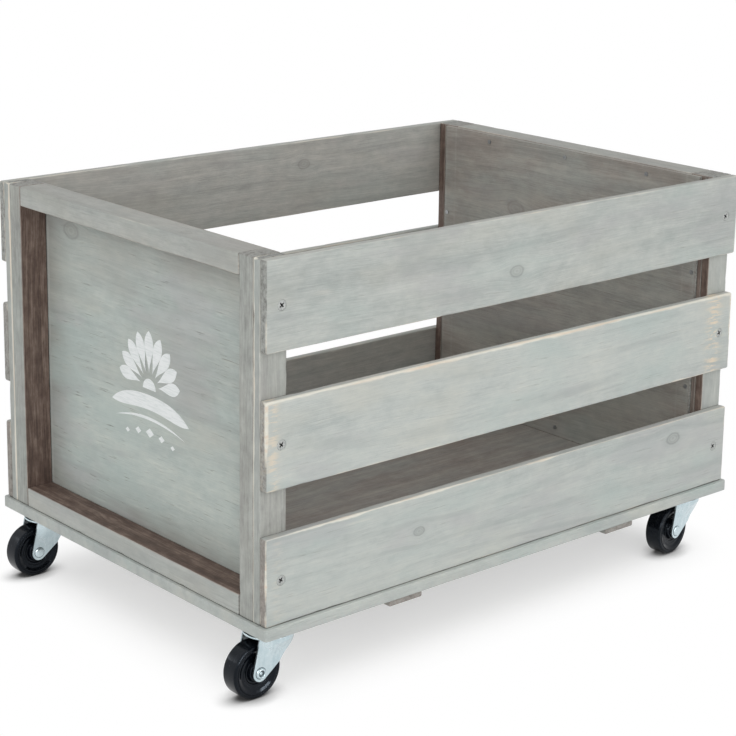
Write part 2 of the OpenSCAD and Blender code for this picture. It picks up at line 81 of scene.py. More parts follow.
class Number:
    """A shader's number at each point, which takes part in plain arithmetic."""

    __add__ = __radd__ = arithmetic("ADD")
    __sub__ = arithmetic("SUBTRACT")
    __mul__ = arithmetic("MULTIPLY")
    __truediv__ = arithmetic("DIVIDE")

    def __init__(self, shader, socket):
        self.shader, self.socket = shader, socket

    def __rsub__(self, other):
        return self.shader.math("SUBTRACT", other, self)


class Shader:
    """The nodes of a material or a world, with a short call for each kind that is used here."""

    def __init__(self, owner):
        owner.use_nodes = True
        self.owner, self.tree = owner, owner.node_tree
        self.tree.nodes.clear()

    def node(self, kind, inputs=None, **settings):
        """A new node, with a value or a link for each input that is named or numbered.

        A colour of three numbers is given as 0 to 255 in sRGB, and one of four is linear.
        """
        made = self.tree.nodes.new("ShaderNode" + kind)
        for key, value in settings.items():
            setattr(made, key, value)
        for key, value in (inputs or {}).items():
            if isinstance(value, Number):
                value = value.socket
            if isinstance(value, bpy.types.NodeSocket):
                self.tree.links.new(value, made.inputs[key])
            elif made.inputs[key].type == "RGBA" and len(value) == 3:
                made.inputs[key].default_value = srgb(*value)
            else:
                made.inputs[key].default_value = value
        return made

    def number(self, name):
        return Number(self, self.node("Attribute", attribute_name=name).outputs["Fac"])

    def vector_of(self, name):
        return self.node("Attribute", attribute_name=name).outputs["Vector"]

    def object_place(self):
        return self.node("TexCoord").outputs["Object"]

    def math(self, operation, *values, clamp=False):
        made = self.node("Math", dict(enumerate(values)), operation=operation, use_clamp=clamp)
        return Number(self, made.outputs[0])

    def vector(self, operation, *values):
        return self.node("VectorMath", dict(enumerate(values)), operation=operation).outputs[0]

    def split(self, vector):
        return [Number(self, part) for part in self.node("SeparateXYZ", {0: vector}).outputs]

    def join(self, x, y, z):
        return self.node("CombineXYZ", {0: x, 1: y, 2: z}).outputs[0]

    def length(self, x, y, z=0.0):
        made = self.node("VectorMath", {0: self.join(x, y, z)}, operation="LENGTH")
        return Number(self, made.outputs["Value"])

    def noise(self, vector, scale=1.0, detail=2.0, roughness=0.5):
        inputs = {"Vector": vector, "Scale": scale, "Detail": detail, "Roughness": roughness}
        return Number(self, self.node("TexNoise", inputs).outputs["Fac"])

    def remap(self, value, low, high, to_low=0.0, to_high=1.0, kind="LINEAR"):
        inputs = dict(enumerate((value, low, high, to_low, to_high)))
        return Number(self, self.node("MapRange", inputs, interpolation_type=kind).outputs[0])

    def ease(self, *values):
        """Remap with a soft start and end."""
        return self.remap(*values, kind="SMOOTHSTEP")

    def ramp(self, factor, *stops):
        made = self.node("ValToRGB", {0: factor})
        elements = made.color_ramp.elements
        while len(elements) < len(stops):
            elements.new(0.5)
        for element, (place, colour) in zip(elements, stops):
            element.position = place
            element.color = srgb(*colour)
        return made.outputs[0]

    def mix(self, factor, first, second):
        return self.node("Mix", {"Factor": factor, 6: first, 7: second}, data_type="RGBA").outputs[2]

    def bump(self, height, strength, distance):
        return self.node("Bump", {"Strength": strength, "Distance": distance, "Height": height}).outputs[0]

    def openness(self, distance, samples):
        """How open a point is within that distance: 1 in the open, less in a corner."""
        return self.node("AmbientOcclusion", {"Distance": distance}, samples=samples).outputs["AO"]

    def seen(self):
        """1 where a surface is seen directly, in gloss or through glass, and 0 where it lights others."""
        path = self.node("LightPath").outputs
        camera, gloss, glass = (path[f"Is {kind} Ray"] for kind in ("Camera", "Glossy", "Transmission"))
        return self.math("MAXIMUM", camera, self.math("MAXIMUM", gloss, glass))

    def end(self, shader, output="OutputMaterial"):
        self.node(output, {0: shader.outputs[0]})
        return self.owner

    def surface(self, **sockets):
        """Ends the material in one Principled BSDF. Socket names are written with _ for a space."""
        inputs = {key.replace("_", " "): value for key, value in sockets.items()}
        return self.end(self.node("BsdfPrincipled", inputs))


def new_shader(name):
    return Shader(bpy.data.materials.new(name))


# Materials

CREVICE_REACH = 3 * MM


def knot_field(s, x, y, name):
    """Distance from one knot in its own radii, and y as the grain flows round the knot."""
    knot_x, knot_y, radius = s.split(s.vector_of(name))
    across = y - knot_y
    distance = s.length((x - knot_x) * 0.62, across) / radius
    near = s.math("EXPONENT", distance * distance * -0.16)
    return distance, y - across * (near * 0.85)


def wood(name, dark, middle, light, figure, dashes, strip=None):
    """Washed and rubbed timber. Its pattern follows the attributes that each plank carries.

    figure holds how narrow the broad bands, the rings and the fine lines are, per metre across.
    dashes says how strong the short dark strokes are. strip holds from where to where along the
    grain the panel is pale beside its frame.
    """
    s = new_shader(name)
    grain, seed = s.vector_of("grain"), s.vector_of("seed")
    x, y, z = s.split(grain)
    edge_x, edge_y, edge_z = s.split(
        s.vector("SUBTRACT", s.vector_of("half"), s.vector("ABSOLUTE", grain)))
    knot_a, y_round = knot_field(s, x, y, "knot_a")
    knot_b, y_round = knot_field(s, x, y_round, "knot_b")

    def patches(along, across, detail, roughness=0.5, shift=None, deep=None):
        """Noise at these scales along, across and, where it differs, through the wood."""
        place = s.vector("ADD", s.vector("MULTIPLY", grain, (along, across, deep or across)), seed)
        if shift:
            place = s.vector("ADD", place, shift)
        return s.noise(place, 1.0, detail, roughness)

    wander = patches(3.0, 8.0, 1.0) - 0.5
    y_wander = y_round + wander * 0.020
    z_wander = z + wander * 0.008

    def streaks(along, across, detail=2.0, roughness=0.5):
        """Noise drawn out along the grain, which wanders and flows round the knots."""
        place = s.join(x * along, y_wander * across, z_wander * across)
        return s.noise(s.vector("ADD", place, seed), 1.0, detail, roughness)

    def weigh(*parts):
        """0.5 plus each pattern's swing about its own middle, times its share."""
        return sum(((value - 0.5) * share for value, share in parts), 0.5)

    bands = streaks(1.6, figure[0])
    rings = streaks(3.0, figure[1])
    lines = streaks(9.0, figure[2], 3.0, 0.6)
    fibre = streaks(60.0, 1500.0, 2.0, 0.6)
    cloud = patches(11.0, 26.0, 5.0, 0.6)
    blot = patches(70.0, 120.0, 4.0, 0.7)
    shade = weigh((bands, 0.42), (rings, 0.22), (lines, 0.36), (cloud, 0.56), (blot, 0.62), (fibre, 0.52))
    colour = s.ramp(shade, (0.08, dark), (0.5, middle), (0.92, light))

    def paint(share, over):
        nonlocal colour
        colour = s.mix(share, colour, over)

    # Cooler, warmer and greyer places in the wash
    tint = patches(6.0, 15.0, 3.0, 0.6)
    other = patches(9.0, 21.0, 3.0, 0.6, shift=(7.0, 3.0, 5.0))
    paint(s.ease(tint, 0.50, 0.66, 0.0, 0.45), (172, 186, 182))
    paint(s.ease(tint, 0.50, 0.34, 0.0, 0.30), (190, 188, 176))
    paint(s.ease(other, 0.52, 0.66, 0.0, 0.50), (176, 177, 177))

    # Broad growth rings, drawn faintly and only in places
    waves = s.math("SINE", patches(1.3, 9.0, 2.0, 0.4) * 42.0 + y_wander * 260.0)
    drawn = s.ease(waves, 0.55, 1.0) * s.remap(other, 0.40, 0.60, 0.05, 0.34)
    paint(drawn, (156, 163, 161))

    # Short dark pores in groups, and pale hair lines
    groups = s.ease(blot, 0.42, 0.62, 0.10, 1.0)
    pores = s.ease(streaks(40.0, 1000.0), 0.60, 0.72, 0.0, dashes)
    pores = pores * (groups * s.remap(tint, 0.36, 0.56, 0.3, 1.0))
    paint(pores, (122, 124, 120))
    thin = s.ease(streaks(16.0, figure[2] * 1.6, 3.0), 0.62, 0.72, 0.0, 0.24)
    paint(thin * groups, (212, 210, 198))

    # Knots: a dark ring, an eye and a few growth rings
    for distance in (knot_a, knot_b):
        uneven = distance + (blot - 0.5) * 0.5
        inner = s.remap(s.math("SINE", uneven * 13.0), -1.0, 1.0, 0.10, 0.36)
        paint(s.ease(distance, 1.15, 0.85) * inner, (126, 127, 121))
        ring = s.ease(s.math("ABSOLUTE", uneven - 1.0), 0.0, 0.30, 0.50, 0.0)
        paint(ring, (128, 131, 128))
        halo = s.ease(distance, 2.4, 0.9, 0.0, 0.22)
        paint(halo, (154, 160, 159))

    # A flame-shaped pale mark where the wash was wiped off
    mark_x, mark_y, mark_length = s.split(s.vector_of("mark"))
    from_mark = s.length((x - mark_x) / mark_length, (y_wander - mark_y) / (mark_length * 0.16))
    wiped = s.ease(from_mark, 1.0, 0.1) * s.ease(streaks(24.0, 420.0), 0.44, 0.60)
    paint(wiped * 0.45, (212, 210, 200))

    # Older, greyer wood, and smudges
    old_shade = weigh((lines, 0.8), (bands, 0.7), (fibre, 0.7), (blot, 1.1))
    old_colour = s.ramp(
        old_shade, (0.15, (108, 108, 103)), (0.5, (136, 137, 132)), (0.85, (164, 167, 162)))
    paint(s.number("aged") * s.remap(cloud, 0.30, 0.62, 1.0, 0.72), old_colour)
    grime = s.number("grime")
    smudge = s.ease(patches(5.0, 12.0, 4.0, 0.6, shift=(4.0, 9.0, 2.0)), 0.48, 0.66, 0.0, 0.52)
    smudged = s.ramp(lines, (0.35, (138, 136, 132)), (0.65, (160, 159, 155)))
    paint(smudge * grime, smudged)

    # Dirt that the brush left towards the edges. edge is the middle one of the three distances.
    smallest = s.math("MINIMUM", edge_x, s.math("MINIMUM", edge_y, edge_z))
    largest = s.math("MAXIMUM", edge_x, s.math("MAXIMUM", edge_y, edge_z))
    edge = edge_x + (edge_y + edge_z) - (smallest + largest)
    dirty = s.ease(edge, 60 * MM, 0.0) * s.ease(cloud, 0.38, 0.60, 0.25, 1.0)
    dirt = s.ramp(streaks(14.0, 260.0, 3.0, 0.65), (0.3, (128, 124, 117)), (0.7, (154, 152, 145)))
    paint(dirty * grime, dirt)
    if strip:
        start, finish = strip
        along = s.math("ABSOLUTE", x)
        pale = s.ease(along, start, start + 1.2 * MM) * s.ease(along, finish, finish - 0.6 * MM)
        paint(pale * s.remap(blot, 0.3, 0.6, 0.25, 0.7), (178, 181, 176))

    # End grain
    end = s.ease(edge_x, 1.2 * MM, 0.5 * MM) * s.number("end_grain")
    end_colour = s.ramp(
        patches(40.0, 260.0, 4.0, 0.7, deep=420.0),
        (0.32, (88, 87, 83)), (0.46, (132, 133, 129)), (0.70, (166, 168, 163)))
    paint(end * 0.92, end_colour)

    # Raw brown wood where no wash was brushed, thinly washed wood between, and painted shade on shaded sides
    raw_shade = weigh((lines, 0.8), (rings, 0.8), (fibre, 0.8), (blot, 0.9))
    raw_and_shade_colour = s.ramp(
        raw_shade, (0.15, (66, 51, 45)), (0.5, (100, 82, 73)), (0.85, (140, 122, 111)))
    thin_wash_and_shade_colour = s.ramp(raw_shade, (0.15, (138, 124, 115)), (0.85, (180, 169, 160)))
    tone = s.number("tone") * (1.0 - s.number("washed_rim") * s.remap(edge, 8 * MM, 5 * MM))
    raw_and_shade_share = s.math("MULTIPLY", tone, (cloud - 0.5) * 2.1 + 1.5, clamp=True)
    paint(raw_and_shade_share, s.mix(s.remap(tone, 0.1, 0.85), thin_wash_and_shade_colour, raw_and_shade_colour))

    # Edges rubbed down to pale wood, here and there. Wear above 1 leaves no edge out.
    wear = s.number("wear")
    beyond = wear - 1.0
    gate = s.math("MAXIMUM", s.ease(patches(9.0, 24.0, 3.0, 0.6), 0.42, 0.58, 0.06, 1.0), beyond)
    reach = s.remap(patches(34.0, 60.0, 3.0, 0.6), 0.36, 0.70, 0.5 * MM, 2.7 * MM)
    reach = reach * (s.math("MINIMUM", wear, 1.0) * gate) + s.math("MAXIMUM", beyond, 0.0) * (1.6 * MM)
    strength = s.math("MULTIPLY", wear, 0.75, clamp=True) * s.remap(gate, 0.06, 1.0, 0.4, 1.0)
    rubbed = s.ease(edge / (reach + 0.25 * MM), 1.0, 0.35) * strength
    bare = s.ramp(streaks(14.0, 300.0), (0.34, (222, 207, 188)), (0.52, (226, 223, 211)))
    paint(rubbed, bare)

    # Scuffs beside the ends, across the plank
    scratched = s.ease(streaks(60.0, 300.0, 3.0, 0.7), 0.46, 0.58)
    for scuff in ("scuff_a", "scuff_b"):
        scuff_x, scuff_width, scuff_strength = s.split(s.vector_of(scuff))
        away = (x - scuff_x) / scuff_width
        beside = s.math("EXPONENT", away * away * -1.0)
        paint(beside * scratched * scuff_strength, (224, 208, 184))

    # Painted shade and dirt in the joints between the pieces, darkest where other surfaces close in
    crevice = s.ease(s.openness(CREVICE_REACH, 8), 0.52, 0.18, 0.0, 0.75)
    paint(crevice * s.remap(rubbed, 0.0, 1.0, 1.0, 0.3), (64, 56, 51))

    relief = lines * 0.5 + fibre * 0.5 + blot * 0.4 - pores
    rough = s.remap(lines, 0.3, 0.7, 0.55, 0.75)
    return s.surface(Base_Color=colour, Roughness=rough, Normal=s.bump(relief, 0.5, 0.6 * MM))


def metal(name, colour, bright, grain, roughness, metallic, spotted=0.12, shaded_and_greasy=False):
    """Plated or bare steel with faint brushing, cloudy plating and small bumps.

    Where a mesh's attribute says so, a metal is darkened: grease and painted shade.
    """
    s = new_shader(name)
    place = s.object_place()
    brushed = s.noise(s.vector("MULTIPLY", place, grain))
    cloud = s.noise(place, 120.0, 3.0)
    tint = s.ramp(brushed * 0.45 + cloud * 0.55, (0.30, colour), (0.70, bright))
    tint = s.mix(s.ease(s.noise(place, 1100.0), 0.66, 0.80, 0.0, spotted), tint, (130, 138, 142))
    if shaded_and_greasy:
        # Dark grease and painted shade where the attribute is set
        grease_and_shade_colour = s.ramp(cloud, (0.3, (34, 37, 40)), (0.7, (62, 67, 71)))
        tint = s.mix(s.number("grease_and_shade"), tint, grease_and_shade_colour)
    rough = s.remap(cloud, 0.3, 0.7, roughness - 0.04, roughness + 0.04)
    return s.surface(
        Base_Color=tint, Metallic=metallic, Roughness=rough,
        Normal=s.bump(brushed, 0.05, 0.1 * MM))


def black_plastic():
    """Moulded wheel plastic: nearly black, glossy, a little dusty and scuffed on the tread."""
    s = new_shader("wheel_plastic")
    place = s.vector_of("grain")
    x, _, z = s.split(place)
    tread = s.ease(s.length(x, 0.0, z), 19.7 * MM, 20.6 * MM)
    cloud = s.noise(place, 130.0, 3.0, 0.6)
    grit = s.noise(place, 1300.0)
    colour = s.ramp(cloud, (0.3, (6, 8, 12)), (0.7, (14, 17, 23)))
    colour = s.mix(s.ease(grit, 0.68, 0.78, 0.0, 0.30) * tread, colour, (140, 138, 134))
    scuff = s.ease(s.noise(s.vector("MULTIPLY", place, (90.0, 900.0, 90.0))), 0.62, 0.70, 0.0, 0.07)
    colour = s.mix(scuff * tread, colour, (84, 84, 86))
    rough = s.remap(cloud, 0.3, 0.7, 0.07, 0.12) + tread * 0.09
    return s.surface(
        Base_Color=colour, Roughness=rough, Specular_IOR_Level=0.19,
        Specular_Tint=(226, 240, 255), Normal=s.bump(grit + cloud * 0.5, 0.03, 0.2 * MM))


def washed_screw():
    """Screw head brushed over with the same wash, with painted shade in its cross recess and round its rim.
    """
    s = new_shader("washed_screw_head")
    place = s.vector_of("grain")
    x, y, z = s.split(place)
    cloud = s.noise(place, 700.0, 3.0, 0.6)
    colour = s.ramp(cloud, (0.35, (150, 153, 151)), (0.62, (196, 199, 196)))
    # Painted shade in a thin ring round the head's rim
    colour = s.mix(s.ease(s.length(x, y), 3.4 * MM, 3.9 * MM, 0.0, 0.55), colour, (96, 97, 96))
    # Painted shade in the cross recess, below the head's face
    colour = s.mix(s.ease(z, -0.05 * MM, -0.5 * MM), colour, (24, 23, 22))
    return s.surface(
        Base_Color=colour, Metallic=0.25, Roughness=s.remap(cloud, 0.3, 0.7, 0.35, 0.55),
        Normal=s.bump(cloud, 0.2, 0.2 * MM))


def white_print():
    """Flat white print on the panel, a little worn so that the grain comes through."""
    s = new_shader("white_print")
    worn = s.noise(s.vector("MULTIPLY", s.object_place(), (900.0, 90.0, 900.0)), 1.0, 3.0, 0.6)
    colour = s.ramp(worn, (0.30, (214, 220, 219)), (0.55, (233, 236, 236)))
    return s.surface(
        Base_Color=colour, Roughness=s.remap(worn, 0.3, 0.7, 0.5, 0.65),
        Normal=s.bump(worn, 0.15, 0.2 * MM))


FLOOR_WHITE = 0.80
SHADOW_WHITE = 1.12
SHADOW_SHARE = 0.50
SHADOW_HALF = (0.200, 0.122)
SHADOW_FADE = (0.005, 0.085)
CONTACT_REACH = 19 * MM


def floor_material():
    """Plain floor: white to the camera and in reflections, with a pale shadow under the object."""
    s = new_shader("studio_floor")
    plain, shaded = (
        s.node("BsdfDiffuse", {"Color": (white,) * 3 + (1.0,)}) for white in (FLOOR_WHITE, SHADOW_WHITE))
    glow = s.node("Emission", {"Strength": s.remap(s.openness(CONTACT_REACH, 16), 0.32, 0.90)})
    # The shadow fades out beside the crate, where the floor is plain white
    x, y, _ = s.split(s.vector("ABSOLUTE", s.object_place()))
    beyond = [s.math("MAXIMUM", value - inner, 0.0) for value, inner in zip((x, y), SHADOW_HALF)]
    share = s.ease(s.length(*beyond), *SHADOW_FADE, SHADOW_SHARE, 0.0)
    shown = s.node("MixShader", {0: share, 1: glow.outputs[0], 2: shaded.outputs[0]})
    return s.end(s.node("MixShader", {0: s.seen(), 1: plain.outputs[0], 2: shown.outputs[0]}))


PINE = wood("washed_pine", (158, 165, 163), (185, 190, 186), (203, 205, 198),
            (46.0, 150.0, 560.0), 0.40)
PLY = wood("washed_ply", (150, 160, 157), (178, 187, 182), (200, 205, 197),
           (26.0, 90.0, 480.0), 0.90, (139.5 * MM, 142.5 * MM))
ZINC = metal("zinc_plate", (186, 204, 210), (212, 225, 229), (420.0, 420.0, 14.0), 0.25, 0.85,
             0.03, shaded_and_greasy=True)
# Darker, duller zinc for the caster plate: partly duller plating, partly painted shade under the board
DULL_SHADED_ZINC = metal("dull_shaded_zinc", (96, 102, 106), (124, 130, 134), (500.0, 500.0, 40.0), 0.40, 0.7)
STEEL = metal("screw_steel", (128, 130, 132), (168, 170, 171), (900.0, 900.0, 900.0), 0.38, 0.8)
BLACK = black_plastic()
SCREW = washed_screw()
PRINT = white_print()


# Meshes and pieces

SMOOTH_DEGREES = 38


def link(name, data):
    made = bpy.data.objects.new(name, data)
    bpy.context.scene.collection.objects.link(made)
    return made


def add_piece(name, mesh, body, *replaced, slot=None):
    """Links the mesh as a piece that rides on a body and stands for CAD nodes."""
    piece = link(name, mesh)
    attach(piece, body)
    if replaced:
        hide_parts(*replaced)
    return piece


def write_attribute(mesh, name, values):
    """Writes one number or one vector per point."""
    single = isinstance(values[0], (int, float))
    layer = mesh.attributes.new(name, "FLOAT" if single else "FLOAT_VECTOR", "POINT")
    if single:
        layer.data.foreach_set("value", values)
    else:
        layer.data.foreach_set("vector", [part for value in values for part in value])


def shade_smooth(mesh, degrees=SMOOTH_DEGREES):
    mesh.shade_smooth()
    mesh.set_sharp_from_angle(angle=math.radians(degrees))


def rounded(points, closed, steps):
    """A profile of (r, h, rounding) points in millimetres, with each corner turned into a curve."""
    made = []
    points = [(r * MM, h * MM, size * MM) for r, h, size in points]
    count = len(points)
    for i, (r, h, size) in enumerate(points):
        corner = Vector((r, h))
        if size == 0 or (not closed and i in (0, count - 1)):
            made.append(corner)
            continue
        before = Vector(points[i - 1][:2]) - corner
        after = Vector(points[(i + 1) % count][:2]) - corner
        start = corner + before.normalized() * min(size, before.length * 0.49)
        finish = corner + after.normalized() * min(size, after.length * 0.49)
        for k in range(steps + 1):
            t = k / steps
            made.append(start * (1 - t) ** 2 + corner * 2 * t * (1 - t) + finish * t ** 2)
    return made


def turned_ring(bm, place, radius, height, count):
    """Points round the Z axis of place."""
    angles = (2 * math.pi * k / count for k in range(count))
    return [bm.verts.new(place @ Vector((radius * math.cos(a), radius * math.sin(a), height)))
            for a in angles]


def bridge(bm, lower, upper):
    """A band of faces between two rings. A ring may be one point, many times over."""
    for k in range(len(lower)):
        n = (k + 1) % len(lower)
        corners = []
        for vert in (lower[k], lower[n], upper[n], upper[k]):
            if vert not in corners:
                corners.append(vert)
        if len(corners) > 2:
            bm.faces.new(corners)


def lathe(bm, points, segments, place, closed=False, steps=4):
    """Turns a profile, as rounded takes it, about the Z axis of place. A closed one makes a ring."""
    rows = []
    for r, h in rounded(points, closed, steps):
        if r < 1e-7:
            rows.append([bm.verts.new(place @ Vector((0, 0, h)))] * segments)
        else:
            rows.append(turned_ring(bm, place, r, h, segments))
    for lower, upper in zip(rows, rows[1:] + rows[:1] if closed else rows[1:]):
        bridge(bm, lower, upper)


def to_mesh(bm, name):
    bmesh.ops.recalc_face_normals(bm, faces=bm.faces)
    mesh = bpy.data.meshes.new(name)
    bm.to_mesh(mesh)
    bm.free()
    return mesh


def finish_mesh(bm, name, material, backs=Matrix(), degrees=SMOOTH_DEGREES):
    """A mesh from bm, whose grain attribute holds each point as its matrix in backs turns it.

    backs is one matrix, from the world to a part's own place, or a list of one for each point.
    """
    mesh = to_mesh(bm, name)
    mesh.materials.append(material)
    shade_smooth(mesh, degrees)
    if not isinstance(backs, list):
        backs = [backs] * len(mesh.vertices)
    write_attribute(mesh, "grain", [back @ vert.co for back, vert in zip(backs, mesh.vertices)])
    return mesh


# Timber

STATION_STEP = 4 * MM
ARC_STEPS = 4
WIDE_MIDDLES = 3
CORNERS = ((1, 1), (-1, 1), (-1, -1), (1, -1))
THINNEST_EASE = 0.3 * MM
DEEPEST_HOLLOW = 0.14 * MM
TONE_FADE = 0.35 * MM
COUNTERSINK = [(0, -3.2, 0), (1.9, -3.0, 0), (4.05, -0.35, 0), (4.2, 1, 0), (0, 1, 0)]


def section(half_y, half_z, radii):
    """Points of a plank's section, corner by corner, with points along both wide faces."""
    points = []
    for k, (sign_y, sign_z) in enumerate(CORNERS):
        r = min(radii[k], half_y * 0.9, half_z * 0.9)
        centre = Vector((sign_y * (half_y - r), sign_z * (half_z - r)))
        for step in range(ARC_STEPS + 1):
            angle = math.radians(90 * k + 90 * step / ARC_STEPS)
            points.append(centre + r * Vector((math.cos(angle), math.sin(angle))))
        if k in (0, 2):
            for step in range(1, WIDE_MIDDLES + 1):
                y = sign_y * half_y * (1 - 2 * step / (WIDE_MIDDLES + 1))
                points.append(Vector((y, sign_z * half_z)))
    return points


def inset(radius, distance):
    """How far a rounded end stands back at that distance from the end."""
    if distance >= radius:
        return 0.0
    return radius - math.sqrt(max(radius ** 2 - (radius - distance) ** 2, 0.0))


def plank_mesh(name, half, seed, ease, corner, dents):
    """A closed bar along X with softened, slightly uneven edges and a few dents in them."""
    half_x, half_y, half_z = half
    ends = [corner * share for share in (0.0, 0.12, 0.35, 0.65, 1.0)]
    count = max(2, round((2 * half_x - 2 * corner) / STATION_STEP))
    inner = [corner + (2 * half_x - 2 * corner) * k / count for k in range(1, count)]
    stations = ends + inner + [2 * half_x - d for d in reversed(ends)]
    bumps = [[(rng.uniform(0.04, 0.96) * 2 * half_x, rng.uniform(1.5, 5) * MM, rng.uniform(0.3, 1) * MM)
              for _ in range(dents)] for _ in range(4)]
    verts = []
    for s in stations:
        from_end = min(s, 2 * half_x - s)
        radii = []
        for k in range(4):
            wobble = noise.noise(Vector((s * 22, k * 7.3, seed[0] * 5)))
            radius = ease * (1.05 + 0.5 * wobble)
            radius += sum(deep * math.exp(-((s - at) / wide) ** 2) for at, wide, deep in bumps[k])
            radii.append(max(radius, THINNEST_EASE))
        y_in, z_in = inset(corner, from_end), inset(min(corner, ease), from_end)
        for point in section(half_y - y_in, half_z - z_in, radii):
            hollow = 0.5 + 0.5 * noise.noise(Vector((s * 11, point.y * 40 + seed[1], point.x * 30)))
            sink = DEEPEST_HOLLOW * hollow
            y, z = (value - math.copysign(sink, value) for value in point)
            verts.append((s - half_x, y, z))
    ring = len(verts) // len(stations)
    last = (len(stations) - 1) * ring
    faces = [tuple(reversed(range(ring)))]
    for a in range(0, last, ring):
        b = a + ring
        for k in range(ring):
            n = (k + 1) % ring
            faces.append((a + k, a + n, b + n, b + k))
    faces.append(tuple(range(last, last + ring)))
    mesh = bpy.data.meshes.new(name)
    mesh.from_pydata(verts, [], faces)
    return mesh


def cut_countersinks(mesh, places):
    """Cuts a countersink at each place, a matrix whose +Z points out of the wood."""
    bm = bmesh.new()
    for place in places:
        lathe(bm, COUNTERSINK, 32, place)
    tool, plank = link("countersinks", to_mesh(bm, "countersinks")), link("being_cut", mesh)
    cut = plank.modifiers.new("cut", "BOOLEAN")
    cut.operation = "DIFFERENCE"
    cut.solver = "EXACT"
    cut.object = tool
    graph = bpy.context.evaluated_depsgraph_get()
    result = bpy.data.meshes.new_from_object(plank.evaluated_get(graph))
    for item in (tool, plank):
        bpy.data.objects.remove(item)
    return result


# Places far off the plank, for a plank that has no such thing
NO_KNOT = (9000, 9000, 1)
NO_MARK = (9000, 9000, 20)
NO_SCUFF = (9000, 10, 0)


def add_plank(node, along, wide, material=PINE, tones=None, wear=1.0, knots=(), holes=(),
              ease=1.0 * MM, corner=1.2 * MM, dents=3, slot="washed_pine", aged=0.0, grime=0.0,
              end_grain=1.0, washed_rim=0.0, worn_edge=(), mark=NO_MARK, scuffs=()):
    """Replaces a timber node by a plank that fills the node's box.

    along and wide name the world axes of the grain and of the wide face. tones says how dark the
    wood is on a side: unwashed wood and painted shade. worn_edge holds the two sides at an edge that
    is rubbed pale all along, and its wear. In the plank's own millimetres, knots hold (x, y, radius),
    mark holds (x, y, length) of a pale wiped place, and scuffs (x, width, strength) of scratches across.
    """
    low, high = (Vector(corner_point) for corner_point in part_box(node))
    order = [AXES.index(along), AXES.index(wide)]
    order.append(3 - sum(order))
    turn = Matrix([[1.0 if order[column] == row else 0.0 for column in range(3)] for row in range(3)])
    place = Matrix.Translation((low + high) / 2) @ turn.to_4x4()
    half = [(high[axis] - low[axis]) / 2 for axis in order]
    seed = [rng.uniform(0, 40) for _ in range(3)]
    mesh = plank_mesh(node + "_wood", half, seed, ease, corner, dents)
    if holes:
        back = place.inverted()
        mesh = cut_countersinks(mesh, [back @ hole for hole in holes])
    mesh.materials.clear()
    mesh.materials.append(material)
    shade_smooth(mesh)

    def own(side):
        """A side of the world as an axis of the plank, and its sign."""
        axis, sign = SIDES[side]
        return order.index(axis), sign

    points = [v.co.copy() for v in mesh.vertices]
    tone_of = {own(side): tone for side, tone in (tones or {}).items()}
    tone_values = []
    for p in points:
        best, total = 0.0, 0.0
        for axis in range(3):
            weight = math.exp(-max(half[axis] - abs(p[axis]), 0.0) / TONE_FADE)
            best += weight * tone_of.get((axis, 1 if p[axis] > 0 else -1), 0.0)
            total += weight
        tone_values.append(best / total if total > 1e-6 else 0.6)
    worn_sides = [own(side) for side in worn_edge[:2]]
    edge_wear = worn_edge[2] if worn_edge else wear
    write_attribute(mesh, "tone", tone_values)
    write_attribute(mesh, "wear", [
        edge_wear if all(p[axis] * sign > 0 for axis, sign in worn_sides) else wear for p in points])
    write_attribute(mesh, "grain", points)
    uniform = {"aged": aged, "grime": grime, "end_grain": end_grain, "washed_rim": washed_rim,
               "half": half, "seed": seed, "mark": [part * MM for part in mark]}
    for name, knot in zip(("knot_a", "knot_b"), [*knots, NO_KNOT, NO_KNOT]):
        uniform[name] = [part * MM for part in knot]
    for name, (x, width, strength) in zip(("scuff_a", "scuff_b"), [*scuffs, NO_SCUFF, NO_SCUFF]):
        uniform[name] = (x * MM, width * MM, strength)
    for name, value in uniform.items():
        write_attribute(mesh, name, [value] * len(points))
    if place.to_3x3().determinant() < 0:
        mesh.flip_normals()
    mesh.transform(place)
    piece = add_piece(node + "_wood", mesh, "crate", node, slot=slot)
    piece.modifiers.new("even_normals", "WEIGHTED_NORMAL").keep_sharp = True


# Screws that show: their places are those of the CAD's screws
SLAT_SCREW_X = 236 * MM
SLAT_FACE = 174 * MM
SCREW_SINK = 0.3 * MM
BOARD_SCREW = (238 * MM, 60 * MM)
CLEAT_SCREW = (118 * MM, 130 * MM)
DOWN = (0, 0, -1)

# What sets each slat apart, in building order
SLATS = {
    ("front", "bottom"): dict(
        wear=0.75, worn_edge=("front", "top", 1.25), knots=[(-104, 5, 3.2), (183, 18, 4.6)],
        mark=(-165, 28, 20), scuffs=[(-240, 4, 0.15)]),
    ("front", "middle"): dict(worn_edge=("front", "top", 1.8), scuffs=[(228, 8, 0.85), (-244, 5, 0.6)]),
    ("front", "top"): dict(wear=0.65, aged=0.24, knots=[(-9, -10, 4.2)], mark=(-200, 1, 15)),
    ("back", "bottom"): dict(wear=0.7, aged=0.15, knots=[(120, -10, 4.8)]),
    ("back", "middle"): dict(wear=0.7, aged=0.15, knots=[(-60, 8, 4.2)]),
    ("back", "top"): dict(
        wear=0.7, aged=0.15, knots=[(-205, -6, 6.5), (60, 12, 4.0)], scuffs=[(-236, 9, 0.4)]),
}
# How dark and brown the left end of each slat is, darkest on the bottom slat
DARK_ENDS = {"bottom": 0.34, "middle": 0.12, "top": 0.0}


def facing(point, direction):
    """A place at the point, with +Z along the direction."""
    return Matrix.Translation(point) @ Vector(direction).to_track_quat("Z", "Y").to_matrix().to_4x4()


def slat_screw_places(side, level):
    low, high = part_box(f"{side}_slat_{level}")
    sign = SIDES[side][1]
    return [facing((x, sign * SLAT_FACE, (low[2] + high[2]) / 2), (0, sign, 0))
            for x in (-SLAT_SCREW_X, SLAT_SCREW_X)]


